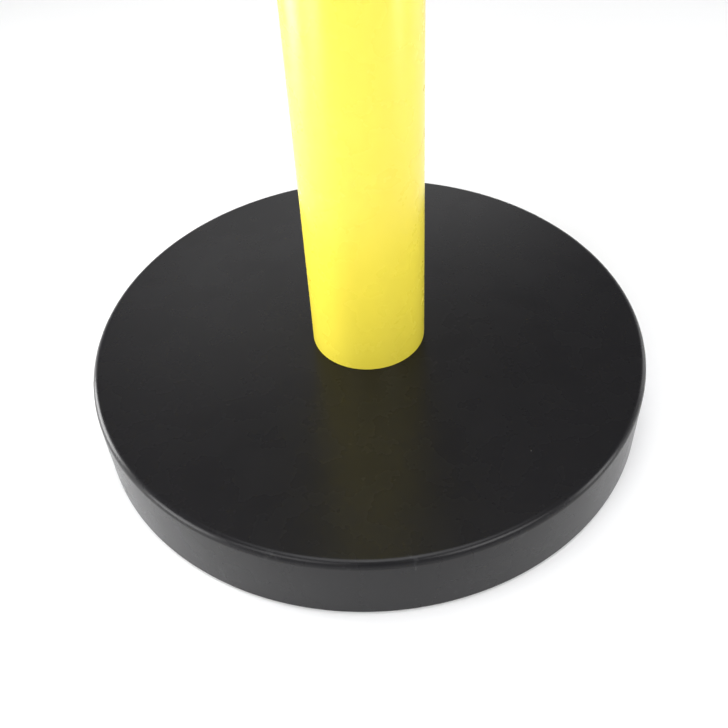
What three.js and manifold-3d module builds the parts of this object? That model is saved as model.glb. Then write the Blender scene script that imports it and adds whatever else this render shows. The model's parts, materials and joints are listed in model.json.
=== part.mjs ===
// Free-standing delineator post with a retractable belt: a weighted round foot, a straight steel tube,
// and a four-way head that holds the sprung belt spool, its centrifugal brake and the belt's end clip.
//
// Millimetres, +Z up. The origin is on the floor under the centre of the foot, and the belt pulls out
// along +X. Parts of the head are drawn in the head's own frame, whose z = 0 is the top end of the tube.

import * as THREE from "three";
import { mergeVertices } from "three/addons/utils/BufferGeometryUtils.js";
import Module from "manifold-3d";

const wasm = await Module();
wasm.setup();

// ---- driving dimensions ----

const POST_HEIGHT = 1000;
const SEAT = 0.2; // clearance left between parts that touch
const LOOSE = 0.4; // clearance round pins, bolts and spigots

const BASE_R = 155; // pressed cover, outside
const COVER_LOW = 2; // its lower edge above the floor
const COVER_TOP = 42;
const COVER_EDGE_R = 4; // its rounded upper edge
const COVER_SHEET = 1.2;
const RING_HEIGHT = 3.2; // rubber ring under the rim
const RING_WIDTH = 17;
const RING_RIB = 5; // rib on the ring, plugged into the weight
const RECESS_R = 36; // nut recess under the weight
const RECESS_TOP = 24;

const BOLT_R = 6; // M12
const BOLT_ACROSS_FLATS = 18;
const BOLT_HEAD = 7.5;
const NUT_HEIGHT = 10.8;
const FOOT_PLATE = 5.8;

const TUBE_R = 31.5;
const TUBE_WALL = 1.5;

const HEAD_HEIGHT = 84;
const CASING_R = 36;
const CASING_TOP = 78;
const CASING_FLOOR = 3;
const CAVITY_R = 23.4; // round hollow that the spool turns in
const SPIGOT_LENGTH = 28;
const EDGE_R = 2.5; // moulded outer edges of the head

// Belt receiver: a T-shaped slot, open upwards, with a notch for the lock bolt in its back wall.
const SLOT = { back: 25.8, lip: 30.8, halfWidth: 11, halfNeck: 6.5, floor: 14 };
const NOTCH = { depth: 1.4, halfWidth: 4.2, low: 69, high: 74.6 };

const SHAFT_R = 3;
const SPOOL_R = 22.2; // flanges and spring case
const DRUM_R = 8;
const BELT_WIDTH = 48;
const BELT_THICK = 0.5;
const BELT_LOW = 18.6; // lower edge of the belt
const COIL_R = 20.1;
const EXIT_X = 28.5; // where the belt bends round the lip of its exit

const BRAKE = { low: 70.2, high: 74.4, pivotR: 15.8, inner: 13.6, outer: 18, pad: 19.6, ring: 20.8 };

const CLIP = { back: 31, joint: 36.8, face: 46, halfWidth: 13, low: 8.6, high: 76.4, pinX: 40.4 };
const RAIL = { shoulder: 51.8, front: 56, halfNeck: 5.8, halfWidth: 10.2, low: 14.4, high: 68 };
const LOCK = { axisZ: 72.3, back: 40.6, shoulder: 43.7, nose: 57.6 };
const CLIP_SCREWS = { upper: [6.8, 72.3], lower: [-6.8, 13.6] }; // y and z

const FOOT_SIDES = 64;
const BODY_SIDES = 48;
const INNER_SIDES = 36;
const SMALL_SIDES = 20;

const HEAD_Z = POST_HEIGHT - HEAD_HEIGHT;
const QUARTER = Math.PI / 2;
const TURN = 2 * Math.PI;

// ---- materials ----

const finish = (color, roughness, metalness = 0) =>
  new THREE.MeshStandardMaterial({ color, roughness, metalness });

const BLACK_PAINT = finish(0x2f2f32, 0.42);
const YELLOW_PAINT = finish(0xf5df20, 0.38);
const BLACK_ABS = finish(0x1c1c1e, 0.5);
const NYLON = finish(0xe6e3d8, 0.45);
const ACETAL = finish(0x3a3c40, 0.4);
const RUBBER = finish(0x161616, 0.85);
const CONCRETE = finish(0x9b978e, 0.9);
const ZINC_STEEL = finish(0xb9bcc0, 0.35, 1);
const DARK_STEEL = finish(0x4a4d52, 0.35, 1);
const WEBBING = finish(0x1a1a1c, 0.9);
const FRICTION_PAD = finish(0x5b4636, 0.95);

// ---- solids ----

// A three.js geometry as a manifold-3d solid.
function solidOf(geometry) {
  const bare = new THREE.BufferGeometry();
  bare.setAttribute("position", geometry.getAttribute("position"));
  bare.setIndex(geometry.index);
  const merged = mergeVertices(bare, 1e-4);
  return new wasm.Manifold(
    new wasm.Mesh({
      numProp: 3,
      vertProperties: merged.getAttribute("position").array,
      triVerts: new Uint32Array(merged.index.array),
    }),
  );
}

function geometryOf(solid) {
  const { vertProperties, triVerts } = solid.getMesh();
  const geometry = new THREE.BufferGeometry();
  geometry.setAttribute("position", new THREE.BufferAttribute(vertProperties, 3));
  geometry.setIndex(new THREE.BufferAttribute(triVerts, 1));
  geometry.computeVertexNormals();
  return geometry;
}

const join = (first, ...rest) => rest.reduce((all, one) => all.add(one), first);
const cut = (first, ...rest) => rest.reduce((left, one) => left.subtract(one), first);

// A solid of revolution about Z, from an outline of [radius, z] points that runs anticlockwise.
function turned(outline, sides) {
  const points = [...outline, outline[0]].map(([r, z]) => new THREE.Vector2(r, z));
  return solidOf(new THREE.LatheGeometry(points, sides).rotateX(QUARTER));
}

const ring = (inner, outer, low, high, sides = SMALL_SIDES) =>
  turned([[inner, low], [outer, low], [outer, high], [inner, high]], sides);

const rod = (radius, low, high, sides = SMALL_SIDES) =>
  solidOf(
    new THREE.CylinderGeometry(radius, radius, high - low, sides)
      .rotateX(QUARTER)
      .translate(0, 0, (low + high) / 2),
  );

const hexagon = (acrossFlats, low, high) => rod(acrossFlats / 2 / Math.cos(Math.PI / 6), low, high, 6);

const block = ([x0, x1], [y0, y1], [z0, z1]) =>
  solidOf(
    new THREE.BoxGeometry(x1 - x0, y1 - y0, z1 - z0).translate((x0 + x1) / 2, (y0 + y1) / 2, (z0 + z1) / 2),
  );

const shapeOf = (points) => new THREE.Shape(points.map(([u, v]) => new THREE.Vector2(u, v)));

const extruded = (shape, depth) =>
  new THREE.ExtrudeGeometry(shape, { depth, bevelEnabled: false, curveSegments: 4 });

// An outline in XY, given height from low to high.
const plate = (points, low, high) => solidOf(extruded(shapeOf(points), high - low).translate(0, 0, low));

// An outline in YZ, given depth from x0 to x1.
function slab(shape, x0, x1) {
  const yzx = new THREE.Matrix4().makeBasis(
    new THREE.Vector3(0, 1, 0),
    new THREE.Vector3(0, 0, 1),
    new THREE.Vector3(1, 0, 0),
  );
  return solidOf(extruded(shape, x1 - x0).applyMatrix4(yzx).translate(x0, 0, 0));
}

function roundedRectangle(halfWidth, low, high, radius) {
  const shape = new THREE.Shape();
  shape.moveTo(radius - halfWidth, low);
  shape.lineTo(halfWidth - radius, low);
  shape.absarc(halfWidth - radius, low + radius, radius, -QUARTER, 0);
  shape.lineTo(halfWidth, high - radius);
  shape.absarc(halfWidth - radius, high - radius, radius, 0, QUARTER);
  shape.lineTo(radius - halfWidth, high);
  shape.absarc(radius - halfWidth, high - radius, radius, QUARTER, 2 * QUARTER);
  shape.lineTo(-halfWidth, low + radius);
  shape.absarc(radius - halfWidth, low + radius, radius, 2 * QUARTER, 3 * QUARTER);
  return shape;
}

// Points along an arc, from one angle to another.
function arc(cx, cy, radius, from, to, steps) {
  return Array.from({ length: steps + 1 }, (_, i) => {
    const angle = from + ((to - from) * i) / steps;
    return [cx + radius * Math.cos(angle), cy + radius * Math.sin(angle)];
  });
}

// A band of a ring between two angles.
const sector = (inner, outer, from, to, low, high, steps = 6) =>
  plate([...arc(0, 0, outer, from, to, steps), ...arc(0, 0, inner, to, from, steps)], low, high);

const spun = (solid, turns) => solid.rotate([0, 0, 360 * turns]);
const rodAlongX = (radius, x0, x1, y, z, sides = 16) =>
  rod(radius, x0, x1, sides).rotate([0, 90, 0]).translate([0, y, z]);

// ---- foot ----

// Floor ring: a flat foot with a chamfered outer edge and a rib that plugs into the weight.
function rubberRing() {
  const outer = BASE_R - COVER_SHEET - 2 * LOOSE;
  const inner = outer - RING_WIDTH;
  const rib = inner + 5.5;
  const chamfer = 0.6;
  return turned(
    [
      [inner, 0],
      [outer - chamfer, 0],
      [outer, chamfer],
      [outer, RING_HEIGHT],
      [rib + 3, RING_HEIGHT],
      [rib + 3, RING_HEIGHT + RING_RIB],
      [rib, RING_HEIGHT + RING_RIB],
      [rib, RING_HEIGHT],
      [inner, RING_HEIGHT],
    ],
    BODY_SIDES,
  );
}

// Cast weight: bolt hole, nut recess with draft, groove for the ring's rib, chamfered upper edge.
function concreteWeight() {
  const low = RING_HEIGHT + SEAT;
  const high = COVER_TOP - COVER_SHEET - SEAT;
  const outer = BASE_R - COVER_SHEET - 2 * LOOSE;
  const groove = outer - RING_WIDTH + 5;
  const grooveTop = RING_HEIGHT + RING_RIB + SEAT;
  return turned(
    [
      [BOLT_R + 2.6, RECESS_TOP],
      [RECESS_R, RECESS_TOP],
      [RECESS_R + 2, low],
      [groove, low],
      [groove, grooveTop],
      [groove + 4, grooveTop],
      [groove + 4, low],
      [outer, low],
      [outer, high - COVER_EDGE_R],
      [outer - COVER_EDGE_R, high],
      [BOLT_R + 2.6, high],
    ],
    BODY_SIDES,
  );
}

const boltSleeve = () => ring(BOLT_R + 1, BOLT_R + 2.2, RECESS_TOP + SEAT, COVER_TOP - COVER_SHEET - 2 * SEAT);

// Pressed steel cover: flat top, rounded edge, straight skirt, bolt hole.
function baseCover() {
  const hole = BOLT_R + 1;
  const insideR = BASE_R - COVER_SHEET;
  const bendX = BASE_R - COVER_EDGE_R;
  const bendZ = COVER_TOP - COVER_EDGE_R;
  return turned(
    [
      [hole, COVER_TOP - COVER_SHEET],
      ...arc(bendX, bendZ, COVER_EDGE_R - COVER_SHEET, QUARTER, 0, 2),
      [insideR, COVER_LOW],
      [BASE_R, COVER_LOW],
      ...arc(bendX, bendZ, COVER_EDGE_R, 0, QUARTER, 4),
      [hole, COVER_TOP],
    ],
    FOOT_SIDES,
  );
}

const WASHER_TOP = RECESS_TOP - SEAT;
const WASHER_LOW = WASHER_TOP - 2.8;
const SPRING_WASHER_LOW = WASHER_LOW - SEAT - 2.6;
const NUT_TOP = SPRING_WASHER_LOW - SEAT;

const clampWasher = () => ring(BOLT_R + LOOSE, 25, WASHER_LOW, WASHER_TOP, INNER_SIDES);

// Split lock washer, sprung apart a little at its slit.
function springWasher() {
  const whole = ring(BOLT_R + LOOSE, BOLT_R + 4.4, SPRING_WASHER_LOW, WASHER_LOW - SEAT);
  return cut(whole, block([0, 12], [-0.7, 0.7], [0, RECESS_TOP]));
}

// Hexagon with its corners turned down at both ends.
function chamferedHexagon(acrossFlats, low, high) {
  const corner = acrossFlats / 2 / Math.cos(Math.PI / 6);
  const down = 1;
  const turnedCorners = turned(
    [
      [0, low],
      [corner - 1.2, low],
      [corner + 0.1, low + down],
      [corner + 0.1, high - down],
      [corner - 1.2, high],
      [0, high],
    ],
    SMALL_SIDES,
  );
  return hexagon(acrossFlats, low, high).intersect(turnedCorners);
}

const clampNut = () =>
  cut(
    chamferedHexagon(BOLT_ACROSS_FLATS, NUT_TOP - NUT_HEIGHT, NUT_TOP),
    rod(BOLT_R + LOOSE, 0, NUT_TOP + 1),
  );

const PLATE_LOW = COVER_TOP + SEAT;
const PLATE_TOP = PLATE_LOW + FOOT_PLATE;

function footBolt() {
  const end = NUT_TOP - NUT_HEIGHT - 2.6;
  const chamfer = 1;
  const shank = turned(
    [[0, end], [BOLT_R - chamfer, end], [BOLT_R, end + chamfer], [BOLT_R, PLATE_TOP + 1], [0, PLATE_TOP + 1]],
    SMALL_SIDES,
  );
  const head = chamferedHexagon(BOLT_ACROSS_FLATS, PLATE_TOP + SEAT, PLATE_TOP + SEAT + BOLT_HEAD);
  return join(shank, head);
}

const footPlate = () => ring(BOLT_R + LOOSE, TUBE_R - TUBE_WALL - LOOSE, PLATE_LOW, PLATE_TOP, INNER_SIDES);

// ---- tube ----

const HEAD_SCREW_TURNS = [1 / 6, 3 / 6, 5 / 6];
const HEAD_SCREW_Z = HEAD_Z - 14;

function postTube() {
  const wall = ring(TUBE_R - TUBE_WALL, TUBE_R, COVER_TOP + SEAT / 2, HEAD_Z - SEAT / 2, BODY_SIDES);
  const hole = rodAlongX(2 + LOOSE, 25, 40, 0, HEAD_SCREW_Z);
  return cut(wall, ...HEAD_SCREW_TURNS.map((turns) => spun(hole, turns)));
}

// Pan-head screw through the tube into the spigot, drawn pointing at the axis along -X.
const headScrew = () =>
  join(
    rodAlongX(2, 25.5, TUBE_R + 1, 0, HEAD_SCREW_Z),
    cut(
      rodAlongX(3.9, TUBE_R + SEAT, TUBE_R + 2.4, 0, HEAD_SCREW_Z, SMALL_SIDES),
      block([TUBE_R + 1.2, 40], [-0.5, 0.5], [HEAD_SCREW_Z - 2, HEAD_SCREW_Z + 2]),
      block([TUBE_R + 1.2, 40], [-2, 2], [HEAD_SCREW_Z - 0.5, HEAD_SCREW_Z + 0.5]),
    ),
  );

// ---- head casing ----

const RECEIVER_TURNS = [1 / 4, 2 / 4, 3 / 4];
const LOBE_TURNS = [1 / 8, 3 / 8, 5 / 8, 7 / 8];
const LOBE_R = 29.5; // where the cap's screws stand
const ABOVE = CASING_TOP + 1;

// The T-shaped space of one receiver, on the +X side.
const receiverSpace = () =>
  join(
    block([SLOT.back, SLOT.lip], [-SLOT.halfWidth, SLOT.halfWidth], [SLOT.floor, ABOVE]),
    block([SLOT.lip - 0.1, CASING_R + 2], [-SLOT.halfNeck, SLOT.halfNeck], [SLOT.floor, ABOVE]),
    block([SLOT.back - NOTCH.depth, SLOT.lip], [-NOTCH.halfWidth, NOTCH.halfWidth], [NOTCH.low, NOTCH.high]),
  );

// The recess where the clip is parked, and the flared way through the wall for the belt.
function exitSpace() {
  const slit = 1.5;
  const flare = [
    [20.5, -5],
    [EXIT_X, -slit],
    [CASING_R, -slit],
    [CASING_R, slit],
    [EXIT_X, slit],
    [20.5, 9.5],
  ];
  return join(
    block([CLIP.back - LOOSE, CASING_R + 2], [-SLOT.halfWidth, SLOT.halfWidth], [8, ABOVE]),
    plate(flare, BELT_LOW - 1, BELT_LOW + BELT_WIDTH + 1),
  );
}

// Two cored pockets beside each screw boss, covered by the cap.
function lobePockets() {
  const pocket = (from, to) =>
    sector(25.6, 33.4, THREE.MathUtils.degToRad(from), THREE.MathUtils.degToRad(to), 4, ABOVE, 2);
  return join(pocket(-18, -7), pocket(7, 18));
}

function headCasing() {
  const body = turned(
    [
      [TUBE_R - TUBE_WALL - LOOSE - 2.6, 0],
      ...arc(CASING_R - EDGE_R, EDGE_R, EDGE_R, -QUARTER, 0, 2),
      [CASING_R, CASING_TOP],
      [CAVITY_R, CASING_TOP],
      [CAVITY_R, CASING_FLOOR],
      [TUBE_R - TUBE_WALL - LOOSE - 2.6, CASING_FLOOR],
    ],
    BODY_SIDES,
  );
  const floor = rod(28, 0, CASING_FLOOR, BODY_SIDES);
  const spigot = ring(27, TUBE_R - TUBE_WALL - LOOSE, -SPIGOT_LENGTH, 0.5, BODY_SIDES);
  const boss = rod(7, -8, 0.5);
  const flatted = cut(rod(SHAFT_R + LOOSE, -9, 4), block([SHAFT_R - 0.4, 5], [-5, 5], [-10, 5]));
  const pilot = rod(1.7, 60, ABOVE, 12).translate([LOBE_R, 0, 0]);
  const screwHole = rodAlongX(2 + LOOSE, 24, 32, 0, HEAD_SCREW_Z - HEAD_Z);
  return cut(
    join(body, floor, spigot, boss),
    flatted,
    exitSpace(),
    ...RECEIVER_TURNS.map((turns) => spun(receiverSpace(), turns)),
    ...LOBE_TURNS.map((turns) => spun(lobePockets(), turns)),
    ...LOBE_TURNS.map((turns) => spun(pilot, turns)),
    ...HEAD_SCREW_TURNS.map((turns) => spun(screwHole, turns)),
  );
}

// Lid: rounded disc, notched over the receivers, with a boss that steadies the shaft.
function topCap() {
  const low = CASING_TOP + SEAT / 2;
  const disc = turned(
    [
      [0, low],
      [CASING_R, low],
      ...arc(CASING_R - EDGE_R, HEAD_HEIGHT - EDGE_R, EDGE_R, 0, QUARTER, 3),
      [0, HEAD_HEIGHT],
    ],
    BODY_SIDES,
  );
  const boss = rod(7, 74.5, low + 1);
  const notch = block([SLOT.back, 40], [-SLOT.halfWidth, SLOT.halfWidth], [70, 90]);
  const countersunk = turned(
    [[0, 70], [2, 70], [2, HEAD_HEIGHT - 2], [3.8, HEAD_HEIGHT - 0.2], [3.8, 90], [0, 90]],
    16,
  ).translate([LOBE_R, 0, 0]);
  return cut(
    join(disc, boss),
    rod(SHAFT_R + LOOSE, 70, 82),
    rod(9.3, HEAD_HEIGHT - 3.5, 90),
    ...RECEIVER_TURNS.map((turns) => spun(notch, turns)),
    ...LOBE_TURNS.map((turns) => spun(countersunk, turns)),
  );
}

// Snap-in plug over the shaft, with a coin slot.
function centrePlug() {
  const low = HEAD_HEIGHT - 3.5 + SEAT;
  const domed = turned([[0, low], [8.9, low], [8.9, HEAD_HEIGHT - 0.5], [6, HEAD_HEIGHT - 0.1], [0, HEAD_HEIGHT]], 32);
  return cut(domed, block([-5.5, 5.5], [-0.7, 0.7], [HEAD_HEIGHT - 1, 90]));
}

// Countersunk cross-head screw of the cap.
function capScrew() {
  const top = HEAD_HEIGHT - 0.3;
  const body = turned([[0, 64], [1.3, 65], [1.3, top - 2.1], [3.4, top], [0, top]], 16);
  const recess = join(
    block([-0.4, 0.4], [-1.7, 1.7], [top - 1, 90]),
    block([-1.7, 1.7], [-0.4, 0.4], [top - 1, 90]),
  );
  return cut(body, recess);
}

// ---- spool and spring ----

const SPRING_LOW = 6;
const SPRING_HIGH = 15.6;
const FLANGE_LOW = 16.3;
const DRUM_TOP = BELT_LOW + BELT_WIDTH + 1;

// Fixed shaft: flatted at the foot, slotted for the spring, grooved for the E-clip, drilled for its screw.
function spoolShaft() {
  const whole = rod(SHAFT_R, -7, 77);
  return cut(
    whole,
    block([SHAFT_R - 0.7, 5], [-5, 5], [-8, CASING_FLOOR]),
    block([-0.7, 0.7], [-4, 4], [SPRING_LOW - 0.4, SPRING_HIGH + 0.4]),
    ring(SHAFT_R - 0.6, 5, 70.1, 71.3),
    rod(1.7, -8, 2, 12),
  );
}

const shaftScrew = () =>
  join(
    rod(1.4, -8.4, 0.5, 12),
    cut(rod(4.4, -10.6, -8.2), block([-3, 3], [-0.5, 0.5], [-12, -9.8]), block([-0.5, 0.5], [-3, 3], [-12, -9.8])),
  );

const lowerWasher = () => ring(SHAFT_R + LOOSE, 6.6, CASING_FLOOR + SEAT / 2, 3.9);
const upperWasher = () => ring(SHAFT_R + LOOSE, 6.8, 69.4, 70);

function shaftClip() {
  const plain = ring(SHAFT_R - 0.3, 6.2, 70.3, 71.1);
  return cut(plain, block([0, 8], [-2.1, 2.1], [70, 72]), block([0, 8], [-1, 1], [70, 72]));
}

const springCase = () =>
  turned(
    [
      [SHAFT_R + LOOSE, 4],
      [SPOOL_R, 4],
      [SPOOL_R, FLANGE_LOW - SEAT],
      [SPOOL_R - 1.4, FLANGE_LOW - SEAT],
      [SPOOL_R - 1.4, 5.4],
      [SHAFT_R + LOOSE, 5.4],
    ],
    INNER_SIDES,
  );

const beltSpool = () =>
  turned(
    [
      [SHAFT_R + LOOSE, FLANGE_LOW],
      [SPOOL_R, FLANGE_LOW],
      [SPOOL_R, FLANGE_LOW + 1.2],
      [DRUM_R, FLANGE_LOW + 1.2],
      [DRUM_R, DRUM_TOP],
      [SHAFT_R + LOOSE, DRUM_TOP],
    ],
    INNER_SIDES,
  );

// Spiral strip whose inner end turns into the shaft's slot and whose outer end lies in the case.
function powerSpring() {
  const turns = 6;
  const steps = turns * 14;
  const thick = 0.5;
  const inner = SHAFT_R + 1.6;
  const outer = SPOOL_R - 1.4 - LOOSE - thick;
  const edge = (offset) =>
    Array.from({ length: steps + 1 }, (_, i) => {
      const angle = QUARTER + (TURN * turns * i) / steps;
      const radius = inner + ((outer - inner) * i) / steps + offset;
      return [radius * Math.cos(angle), radius * Math.sin(angle)];
    });
  const strip = plate([...edge(thick), ...edge(0).reverse()], SPRING_LOW, SPRING_HIGH);
  const tab = block([-thick / 2, thick / 2], [-1.5, inner + thick / 2], [SPRING_LOW, SPRING_HIGH]);
  return join(strip, tab);
}

const beltCoil = () => ring(DRUM_R + 0.3, COIL_R, BELT_LOW, BELT_LOW + BELT_WIDTH, INNER_SIDES);

// ---- centrifugal brake ----

const PIVOT_ANGLE = THREE.MathUtils.degToRad(100);
const PIVOT = [BRAKE.pivotR * Math.cos(PIVOT_ANGLE), BRAKE.pivotR * Math.sin(PIVOT_ANGLE), 0];
const BRAKE_SIDES = { a: 0, b: 1 / 2 }; // the second shoe is the first one, half a turn round

function upperFlange() {
  const plain = ring(SHAFT_R + LOOSE, SPOOL_R, DRUM_TOP + SEAT, 69.2, INNER_SIDES);
  const pinHole = rod(1.5 + LOOSE, 60, 72, 12).translate(PIVOT);
  return cut(plain, ...Object.values(BRAKE_SIDES).map((turns) => spun(pinHole, turns)));
}

const brakePin = () => join(rod(1.4, DRUM_TOP + 0.4, 75.4, 12), rod(2.6, 74.8, 75.6, 16)).translate(PIVOT);

// Curved shoe that swings on its pin, with a lug round the pin.
function brakeShoe() {
  const from = PIVOT_ANGLE;
  const to = THREE.MathUtils.degToRad(225);
  const bow = sector(BRAKE.inner, BRAKE.outer, from, to, BRAKE.low, BRAKE.high);
  const lug = rod(3.1, BRAKE.low, BRAKE.high, 16).translate(PIVOT);
  return cut(join(bow, lug), rod(1.4 + LOOSE, 60, 80, 16).translate(PIVOT));
}

const brakePad = () =>
  sector(
    BRAKE.outer + SEAT,
    BRAKE.pad,
    THREE.MathUtils.degToRad(150),
    THREE.MathUtils.degToRad(216),
    BRAKE.low,
    BRAKE.high,
  );

const brakeRing = () => ring(BRAKE.ring, CAVITY_R - 0.3, 70, CASING_TOP - SEAT, INNER_SIDES);

// ---- belt end clip ----

const HALF_BELT = BELT_THICK / 2;

// Belt from the coil to the exit, then straight out and round the pin in the clip.
function beltTail() {
  const away = COIL_R + HALF_BELT + SEAT; // centre line clear of the coil
  const angle = Math.acos(away / EXIT_X);
  const leave = [away * Math.cos(angle), away * Math.sin(angle)];
  const normal = [Math.cos(angle) * HALF_BELT, Math.sin(angle) * HALF_BELT];
  const band = [
    [leave[0] - normal[0], leave[1] - normal[1]],
    [EXIT_X, -HALF_BELT],
    [CLIP.pinX - 2, -HALF_BELT],
    [CLIP.pinX - 2, HALF_BELT],
    [EXIT_X + 0.1, HALF_BELT],
    [leave[0] + normal[0], leave[1] + normal[1]],
  ];
  const high = BELT_LOW + BELT_WIDTH;
  const loop = ring(1.9, 1.9 + BELT_THICK, BELT_LOW, high).translate([CLIP.pinX, 0, 0]);
  return join(plate(band, BELT_LOW, high), loop);
}

const clipPin = () => rod(1.6, BELT_LOW - 1.3, BELT_LOW + BELT_WIDTH + 1.3, 16).translate([CLIP.pinX, 0, 0]);

// T-rail that slides down into another post's receiver.
const clipRail = () =>
  plate(
    [
      [CLIP.face - 0.1, -RAIL.halfNeck],
      [RAIL.shoulder, -RAIL.halfNeck],
      [RAIL.shoulder, -RAIL.halfWidth],
      [RAIL.front - 0.8, -RAIL.halfWidth],
      [RAIL.front, 0.8 - RAIL.halfWidth],
      [RAIL.front, RAIL.halfWidth - 0.8],
      [RAIL.front - 0.8, RAIL.halfWidth],
      [RAIL.shoulder, RAIL.halfWidth],
      [RAIL.shoulder, RAIL.halfNeck],
      [CLIP.face - 0.1, RAIL.halfNeck],
    ],
    RAIL.low,
    RAIL.high,
  );

function clipFront() {
  const body = slab(roundedRectangle(CLIP.halfWidth, CLIP.low, CLIP.high, 3), CLIP.joint, CLIP.face);
  const pinRoom = block([30, 43.4], [-3.6, 3.6], [BELT_LOW - 1.6, BELT_LOW + BELT_WIDTH + 1.6]);
  const boltRoom = block([30, LOCK.shoulder + SEAT], [-3.9, 3.9], [LOCK.axisZ - 2.7, LOCK.axisZ + 2.7]);
  const tabSlot = block([30, LOCK.shoulder + SEAT], [-2.5, 2.5], [LOCK.axisZ, 90]);
  const noseHole = block([40, 50], [-2.9, 2.9], [LOCK.axisZ - 2.1, LOCK.axisZ + 2.1]);
  const pilots = Object.values(CLIP_SCREWS).map(([y, z]) => rodAlongX(1.8, 30, 43.5, y, z, 12));
  return cut(join(body, clipRail()), pinRoom, boltRoom, tabSlot, noseHole, ...pilots);
}

function clipBack() {
  const outline = roundedRectangle(SLOT.halfWidth - 0.6, CLIP.low + 1, CLIP.high - 1, 2);
  const body = slab(outline, CLIP.back, CLIP.joint - SEAT);
  const beltSlot = block([30, 40], [-1.5, 1.5], [BELT_LOW - 1, BELT_LOW + BELT_WIDTH + 1]);
  const holes = Object.values(CLIP_SCREWS).flatMap(([y, z]) => [
    rodAlongX(1.9, 30, 40, y, z, 12),
    rodAlongX(3.2, 30, CLIP.back + 2.4, y, z),
  ]);
  return cut(body, beltSlot, ...holes);
}

// Pan-head cross screw that holds the clip's halves together.
function clipScrew([y, z]) {
  const under = CLIP.back + 2.4 - SEAT;
  const head = rodAlongX(2.9, CLIP.back + 0.3, under, y, z);
  const cross = [
    block([30, CLIP.back + 1.2], [y - 0.4, y + 0.4], [z - 1.7, z + 1.7]),
    block([30, CLIP.back + 1.2], [y - 1.7, y + 1.7], [z - 0.4, z + 0.4]),
  ];
  return join(cut(head, ...cross), rodAlongX(1.4, under - 0.5, 43, y, z, 12));
}

// Sprung bolt: a block in the clip, a nose bevelled underneath, and a ridged thumb tab on top.
function lockBolt() {
  const low = LOCK.axisZ - 1.7;
  const high = LOCK.axisZ + 1.7;
  const bevel = 1.4;
  const nose = shapeOf([
    [LOCK.shoulder - 1, low],
    [LOCK.nose - bevel, low],
    [LOCK.nose, low + bevel],
    [LOCK.nose, high],
    [LOCK.shoulder - 1, high],
  ]);
  const halfNose = 2.5;
  const noseSolid = solidOf(extruded(nose, 2 * halfNose).rotateX(QUARTER).translate(0, halfNose, 0));
  const guide = block([LOCK.back, LOCK.shoulder], [-3.5, 3.5], [LOCK.axisZ - 2.3, LOCK.axisZ + 2.3]);
  const tab = block([LOCK.back + 0.6, LOCK.shoulder - 0.3], [-2.1, 2.1], [LOCK.axisZ, 79.8]);
  return join(noseSolid, guide, tab);
}

function lockSpring() {
  const radius = 1.5;
  const turns = 3;
  const from = CLIP.joint + 0.4;
  const to = LOCK.back - 0.4;
  class Helix extends THREE.Curve {
    getPoint(t, target = new THREE.Vector3()) {
      const angle = TURN * turns * t;
      return target.set(from + (to - from) * t, radius * Math.cos(angle), LOCK.axisZ + radius * Math.sin(angle));
    }
  }
  const wire = shapeOf(arc(0, 0, 0.25, 0, (TURN * 5) / 6, 5));
  return solidOf(new THREE.ExtrudeGeometry(wire, { steps: 27, bevelEnabled: false, extrudePath: new Helix() }));
}

// ---- assembly ----

function add(group, name, solid, material) {
  const mesh = new THREE.Mesh(geometryOf(solid), material);
  mesh.name = name;
  group.add(mesh);
  return mesh;
}

function foot() {
  const group = new THREE.Group();
  add(group, "rubber_ring", rubberRing(), RUBBER);
  add(group, "concrete_weight", concreteWeight(), CONCRETE);
  add(group, "bolt_sleeve", boltSleeve(), ZINC_STEEL);
  add(group, "base_cover", baseCover(), BLACK_PAINT);
  add(group, "clamp_washer", clampWasher(), ZINC_STEEL);
  add(group, "spring_washer", springWasher(), ZINC_STEEL);
  add(group, "clamp_nut", clampNut(), ZINC_STEEL);
  add(group, "foot_bolt", footBolt(), ZINC_STEEL);
  add(group, "foot_plate", footPlate(), DARK_STEEL);
  return group;
}

function tube() {
  const group = new THREE.Group();
  add(group, "post_tube", postTube(), YELLOW_PAINT);
  HEAD_SCREW_TURNS.forEach((turns, i) => {
    add(group, `head_screw_${i + 1}`, headScrew(), ZINC_STEEL).rotation.z = TURN * turns;
  });
  return group;
}

function spool() {
  const group = new THREE.Group();
  add(group, "spring_case", springCase(), ACETAL);
  add(group, "power_spring", powerSpring(), DARK_STEEL);
  add(group, "belt_spool", beltSpool(), ACETAL);
  add(group, "belt_coil", beltCoil(), WEBBING);
  add(group, "upper_flange", upperFlange(), ACETAL);
  Object.entries(BRAKE_SIDES).forEach(([side, turns]) => {
    const brake = new THREE.Group();
    add(brake, `brake_pin_${side}`, brakePin(), ZINC_STEEL);
    add(brake, `brake_shoe_${side}`, brakeShoe(), ACETAL);
    add(brake, `brake_pad_${side}`, brakePad(), FRICTION_PAD);
    brake.rotation.z = TURN * turns;
    group.add(brake);
  });
  return group;
}

function beltEnd() {
  const group = new THREE.Group();
  add(group, "belt_tail", beltTail(), WEBBING);
  add(group, "clip_pin", clipPin(), ZINC_STEEL);
  add(group, "clip_front", clipFront(), BLACK_ABS);
  add(group, "clip_back", clipBack(), BLACK_ABS);
  Object.entries(CLIP_SCREWS).forEach(([place, centre]) => {
    add(group, `clip_screw_${place}`, clipScrew(centre), ZINC_STEEL);
  });
  add(group, "lock_bolt", lockBolt(), ACETAL);
  add(group, "lock_spring", lockSpring(), ZINC_STEEL);
  return group;
}

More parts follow.
